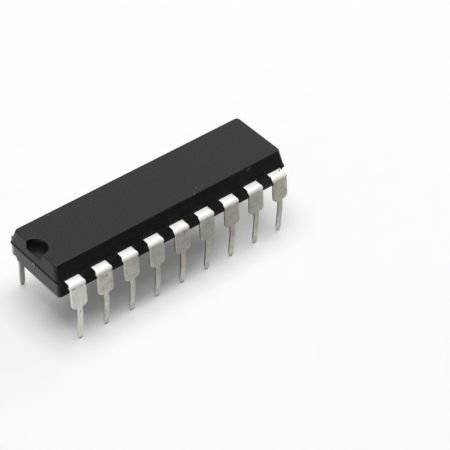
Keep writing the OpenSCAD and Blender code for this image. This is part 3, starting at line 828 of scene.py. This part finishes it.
def dark_reflection_felt():
    """Black felt over the studio flags, which only reflections see, so it paints dark reflections. On the
    strip it thins out near the object towards both ends, where the leads mirror more of the floor. The
    ribbon is felted on the side towards the body only, so the wall mirrors it and the legs don't."""
    mat, tree, shader, place = material("dark_reflection_felt", Roughness=1.0, Specular_IOR_Level=0.0,
                                        Base_Color=linear("#050505"))
    near = mark(tree, place, *THICK_FELT)
    near = add(tree, "ShaderNodeMath", {0: near, 1: 0.6}, operation="MULTIPLY").outputs[0]
    ahead = add(tree, "ShaderNodeSeparateXYZ", {0: place}).outputs["Y"]
    far = add(tree, "ShaderNodeMapRange", {"Value": ahead, "From Min": -15 * MM, "From Max": -22 * MM}).outputs[0]
    close = add(tree, "ShaderNodeMapRange", {"Value": ahead, "From Min": -5 * MM, "From Max": -4 * MM,
                                             "To Max": 0.8}).outputs[0]
    behind = add(tree, "ShaderNodeNewGeometry").outputs["Backfacing"]
    close = add(tree, "ShaderNodeMath", {0: close, 1: behind}, operation="MULTIPLY").outputs[0]
    thick = near
    for other in (far, close):
        thick = add(tree, "ShaderNodeMath", {0: thick, 1: other}, operation="MAXIMUM").outputs[0]
    clear = add(tree, "ShaderNodeBsdfTransparent")
    both = add(tree, "ShaderNodeMixShader", {0: thick, 1: clear.outputs[0], 2: shader.outputs[0]})
    out = next(node for node in tree.nodes if node.type == "OUTPUT_MATERIAL")
    tree.links.new(both.outputs[0], out.inputs["Surface"])
    return mat


# Operators

def settings():
    """Sizes and colours of the chip in this scene."""
    return bpy.context.scene.chip


class CHIP_OT_body(bpy.types.Operator):
    """Adds the moulded body, which stands for its CAD node"""
    bl_idname = "chip.body"
    bl_label = "Add moulded body"

    def execute(self, context):
        body = piece("body_moulding", body_patches(settings().body), 20.0, polished=(1, 2))
        soften(body, 0.015 * MM)
        body.data.materials.append(mineral_filled_epoxy(settings().finish))
        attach(body, "root")
        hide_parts("moulded_body")
        return {"FINISHED"}


class CHIP_OT_leads(bpy.types.Operator):
    """Adds the formed leads, each of which stands for its CAD node"""
    bl_idname = "chip.leads"
    bl_label = "Add leads"

    def execute(self, context):
        sizes, body = settings().leads, settings().body
        plating = matt_tin_plate(settings().finish)
        for number in range(1, 2 * sizes.per_row + 1):
            patch, values = lead_patch(sizes, body, number)
            lead = piece(f"formed_lead_{number:02d}", [patch], 40.0, values)
            lead.data.materials.append(plating)
            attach(lead, "root")
            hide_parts(f"lead_{number:02d}")
        return {"FINISHED"}


class CHIP_OT_inside(bpy.types.Operator):
    """Finishes the pieces inside the moulding, whose CAD solids are kept"""
    bl_idname = "chip.inside"
    bl_label = "Finish inner pieces"

    def execute(self, context):
        finish = settings().finish
        kinds = {"die_pad": rolled_copper_alloy(finish), "die_attach": silver_filled_adhesive(),
                 "silicon_die": polished_silicon()}
        gold = drawn_gold()
        for name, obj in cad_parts.items():
            mat = gold if name.startswith("bond_wire") else kinds.get(name)
            if mat:
                obj.data.materials.clear()
                obj.data.materials.append(mat)
        return {"FINISHED"}


class CHIP_OT_stage(bpy.types.Operator):
    """Adds the floor, the lights and the camera"""
    bl_idname = "chip.stage"
    bl_label = "Add stage"

    def execute(self, context):
        scene = context.scene
        edge = np.array([-0.6, 0.6])
        grid = np.stack(np.meshgrid(edge, edge, indexing="ij"), axis=-1)
        floor = piece("stage_floor", [(at_height(grid, 0.0), quads(2, 2))])
        floor.data.materials.append(paper_floor(settings().finish))

        across = np.linspace(-40, 90, 27) * MM
        sheets = []
        for path in (RIBBON, STRIP):
            path = np.array(path) * MM
            sheet = np.stack(np.broadcast_arrays(across, path[:, :1], path[:, 1:]), axis=-1)
            sheets.append((sheet, quads(*sheet.shape[:2])))
        # Flags that only reflections see: painted dark reflections in the walls and the leads
        flag = piece("stage_reflection_flag", sheets)
        flag.data.materials.append(dark_reflection_felt())
        for ray in ("camera", "diffuse", "transmission", "volume_scatter", "shadow"):
            setattr(flag, "visible_" + ray, False)

        world = bpy.data.worlds.new("studio")
        scene.world = world
        world.use_nodes = True
        tree = world.node_tree
        tree.nodes.clear()
        dim = add(tree, "ShaderNodeBackground", {"Color": linear("#f6f7f8"), "Strength": 0.2})
        white = add(tree, "ShaderNodeBackground", {"Color": linear("#ffffff"), "Strength": 1.0})
        mix = add(tree, "ShaderNodeMixShader", {0: seen_rays(tree), 1: dim.outputs[0], 2: white.outputs[0]})
        add(tree, "ShaderNodeOutputWorld", {"Surface": mix.outputs[0]})

        for name, (size, place, power, tilt) in LAMPS.items():
            light = bpy.data.lights.new(name, "AREA")
            light.shape = "RECTANGLE"
            light.size, light.size_y = size
            light.energy = power
            lamp = bpy.data.objects.new(name, light)
            lamp.location = place
            lamp.rotation_euler = (0, math.radians(tilt), 0)
            scene.collection.objects.link(lamp)

        view = bpy.data.cameras.new("camera")
        view.lens = LENS
        view.sensor_width = 36
        view.clip_start = 0.005
        view.clip_end = 10
        camera = bpy.data.objects.new("camera", view)
        scene.collection.objects.link(camera)
        turn = Matrix(np.stack([RIGHT, np.cross(RIGHT, AHEAD), -AHEAD], axis=1).tolist()).to_4x4()
        camera.matrix_world = Matrix.Translation(EYE) @ turn
        scene.camera = camera
        scene.view_settings.view_transform = "Standard"
        return {"FINISHED"}


class ChipSettings(bpy.types.PropertyGroup):
    """All sizes and colours of the chip."""
    body: PointerProperty(type=ChipBodySizes, name="Body", description="Sizes of the moulded body")
    leads: PointerProperty(type=ChipLeadSizes, name="Leads", description="Sizes of the formed leads")
    finish: PointerProperty(type=ChipFinish, name="Finish", description="Colours of the materials")


class CHIP_PT_panel(bpy.types.Panel):
    """Lists the operators that build the chip"""
    bl_idname = "CHIP_PT_panel"
    bl_label = "Chip"
    bl_space_type = "VIEW_3D"
    bl_region_type = "UI"
    bl_category = "Chip"

    def draw(self, context):
        for operator in OPERATORS:
            self.layout.operator(operator.bl_idname)


OPERATORS = (CHIP_OT_body, CHIP_OT_leads, CHIP_OT_inside, CHIP_OT_stage)
CLASSES = (ChipBodySizes, ChipLeadSizes, ChipFinish, ChipSettings) + OPERATORS + (CHIP_PT_panel,)


def register():
    for cls in CLASSES:
        bpy.utils.register_class(cls)
    bpy.types.Scene.chip = PointerProperty(type=ChipSettings)


def unregister():
    del bpy.types.Scene.chip
    for cls in reversed(CLASSES):
        bpy.utils.unregister_class(cls)


def main():
    register()
    bpy.ops.chip.body()
    bpy.ops.chip.leads()
    bpy.ops.chip.inside()
    bpy.ops.chip.stage()


if __name__ == "__main__":
    main()
